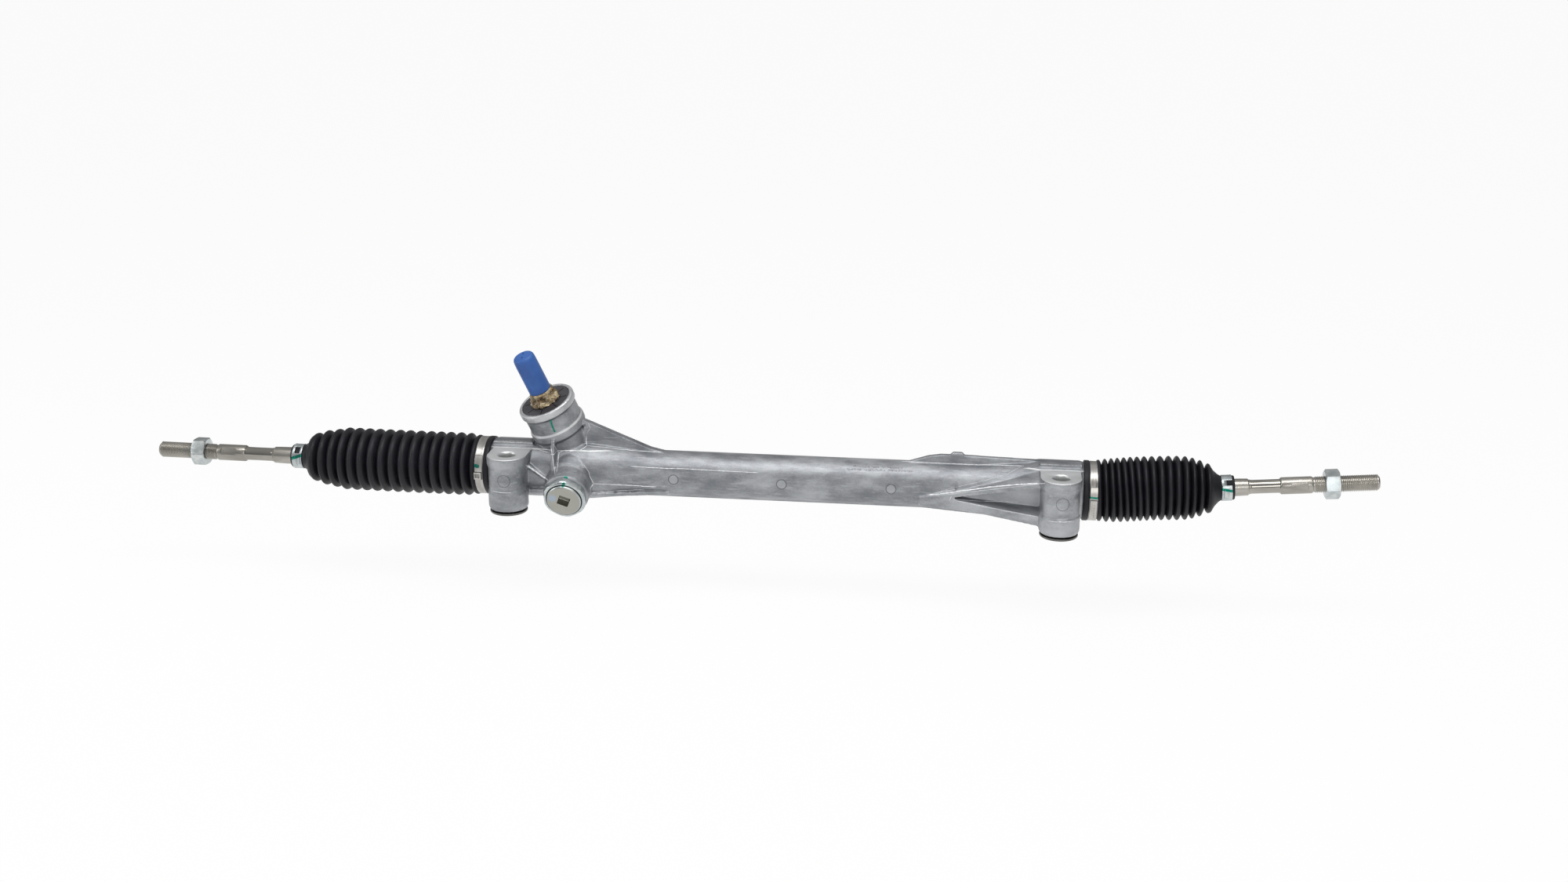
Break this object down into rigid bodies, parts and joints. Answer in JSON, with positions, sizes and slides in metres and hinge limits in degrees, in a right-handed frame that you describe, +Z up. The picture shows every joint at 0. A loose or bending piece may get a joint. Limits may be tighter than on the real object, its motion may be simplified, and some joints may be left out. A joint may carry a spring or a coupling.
{
  "type": "steering rack",
  "caption": "Manual rack and pinion steering gear: cast housing, inclined pinion with pull-off cap, bellows boots, tie rods on ball joints with lock nuts.",
  "frame": {"origin": "midway between the two mounting bolts, on the plane that the bosses seat on", "axes": "+X along the rack, from the pinion end to the other, +Y to the rear of the housing, +Z up along the mounting bolts"},
  "size_m": [1.0667, 0.0879, 0.1432],
  "materials": {
    "cast_aluminium": "as-cast, lightly tumbled",
    "machined_steel": "turned",
    "zinc_steel": "bright zinc plate",
    "stainless_band": "rolled strip",
    "bearing_steel": "ground",
    "spring_steel": "oiled",
    "boot_rubber": "satin moulded",
    "bush_rubber": "matt",
    "seal_rubber": "matt",
    "black_plastic": "moulded",
    "nylon": "natural",
    "cap_blue": "soft vinyl",
    "wrap_film": "crumpled clear film"
  },
  "bodies": {
    "housing": {"rack_housing": "cast_aluminium", "left_mount_sleeve": "machined_steel", "left_mount_rubber": "bush_rubber", "right_mount_sleeve": "machined_steel", "right_mount_rubber": "bush_rubber", "rack_end_bush": "nylon", "end_bush_rings": "seal_rubber", "rack_guide": "cast_aluminium", "rack_guide_liner": "nylon", "rack_guide_ring": "seal_rubber", "rack_guide_spring": "spring_steel", "rack_guide_plug": "zinc_steel", "rack_guide_lock_nut": "zinc_steel", "upper_bearing_outer_race": "bearing_steel", "lower_bearing_cup": "machined_steel", "bearing_retaining_ring": "spring_steel", "pinion_oil_seal": "seal_rubber", "pinion_dust_cover": "black_plastic", "left_boot": "boot_rubber", "left_boot_band": "stainless_band", "right_boot": "boot_rubber", "right_boot_band": "stainless_band"},
    "rack": {"rack_bar": "machined_steel", "left_ball_socket": "machined_steel", "left_lock_washer": "zinc_steel", "right_ball_socket": "machined_steel", "right_lock_washer": "zinc_steel"},
    "pinion": {"pinion_shaft": "machined_steel", "upper_bearing_inner_race": "bearing_steel", "shaft_retaining_ring": "spring_steel", "shaft_wrap": "wrap_film"},
    "ball_set": {"upper_bearing_balls": "bearing_steel", "upper_bearing_cage": "machined_steel"},
    "needle_set": {"lower_bearing_needles": "bearing_steel", "lower_bearing_cage": "machined_steel"},
    "cap": {"pinion_cap": "cap_blue"},
    "left_seat": {"left_ball_seat": "nylon"},
    "left_clip": {"left_boot_clip": "zinc_steel"},
    "left_rod": {"left_tie_rod": "machined_steel", "left_jam_nut": "zinc_steel"},
    "right_seat": {"right_ball_seat": "nylon"},
    "right_clip": {"right_boot_clip": "zinc_steel"},
    "right_rod": {"right_tie_rod": "machined_steel", "right_jam_nut": "zinc_steel"}
  },
  "joints": [
    {"name": "rack_slide", "type": "slide", "parent": "housing", "child": "rack", "axis": [1, 0, 0], "range_m": [-0.03, 0.094], "deforming": ["left_boot", "right_boot"]},
    {"name": "pinion_spin", "type": "hinge", "parent": "housing", "child": "pinion", "pos_m": [-0.1875, 0.04608, 0.03457], "axis": [-0.3156, -0.2932, 0.9024], "range_deg": [-253.8, 794.1]},
    {"name": "ball_set_orbit", "type": "hinge", "parent": "housing", "child": "ball_set", "pos_m": [-0.1875, 0.04608, 0.03457], "axis": [-0.3156, -0.2932, 0.9024], "range_deg": [-97, 302.7]},
    {"name": "needle_set_orbit", "type": "hinge", "parent": "housing", "child": "needle_set", "pos_m": [-0.1875, 0.04608, 0.03457], "axis": [-0.3156, -0.2932, 0.9024], "range_deg": [-108.5, 338.6]},
    {"name": "cap_pull", "type": "slide", "parent": "pinion", "child": "cap", "axis": [-0.3156, -0.2932, 0.9024], "range_m": [0, 0.06]},
    {"name": "left_rod_lift", "type": "hinge", "parent": "rack", "child": "left_seat", "pos_m": [-0.3485, 0.032, 0.03], "axis": [0, 1, 0], "range_deg": [-14.42, 13.58]},
    {"name": "left_rod_sweep", "type": "hinge", "parent": "left_seat", "child": "left_clip", "pos_m": [-0.3485, 0.032, 0.03], "axis": [0, 0, 1], "range_deg": [-6, 6]},
    {"name": "left_rod_turn", "type": "hinge", "parent": "left_clip", "child": "left_rod", "pos_m": [-0.3485, 0.032, 0.03], "axis": [-1, 0, 0.0073], "continuous": true},
    {"name": "right_rod_lift", "type": "hinge", "parent": "rack", "child": "right_seat", "pos_m": [0.2845, 0.032, 0.03], "axis": [0, 1, 0], "range_deg": [-9.23, 18.77]},
    {"name": "right_rod_sweep", "type": "hinge", "parent": "right_seat", "child": "right_clip", "pos_m": [0.2845, 0.032, 0.03], "axis": [0, 0, 1], "range_deg": [-6, 6]},
    {"name": "right_rod_turn", "type": "hinge", "parent": "right_clip", "child": "right_rod", "pos_m": [0.2845, 0.032, 0.03], "axis": [0.9965, 0, 0.0832], "continuous": true}
  ],
  "couplings": [
    {"joint": "pinion_spin", "follows": "rack_slide", "rad_per_m": 147.34},
    {"joint": "ball_set_orbit", "follows": "rack_slide", "rad_per_m": 56.093},
    {"joint": "needle_set_orbit", "follows": "rack_slide", "rad_per_m": 62.776}
  ]
}
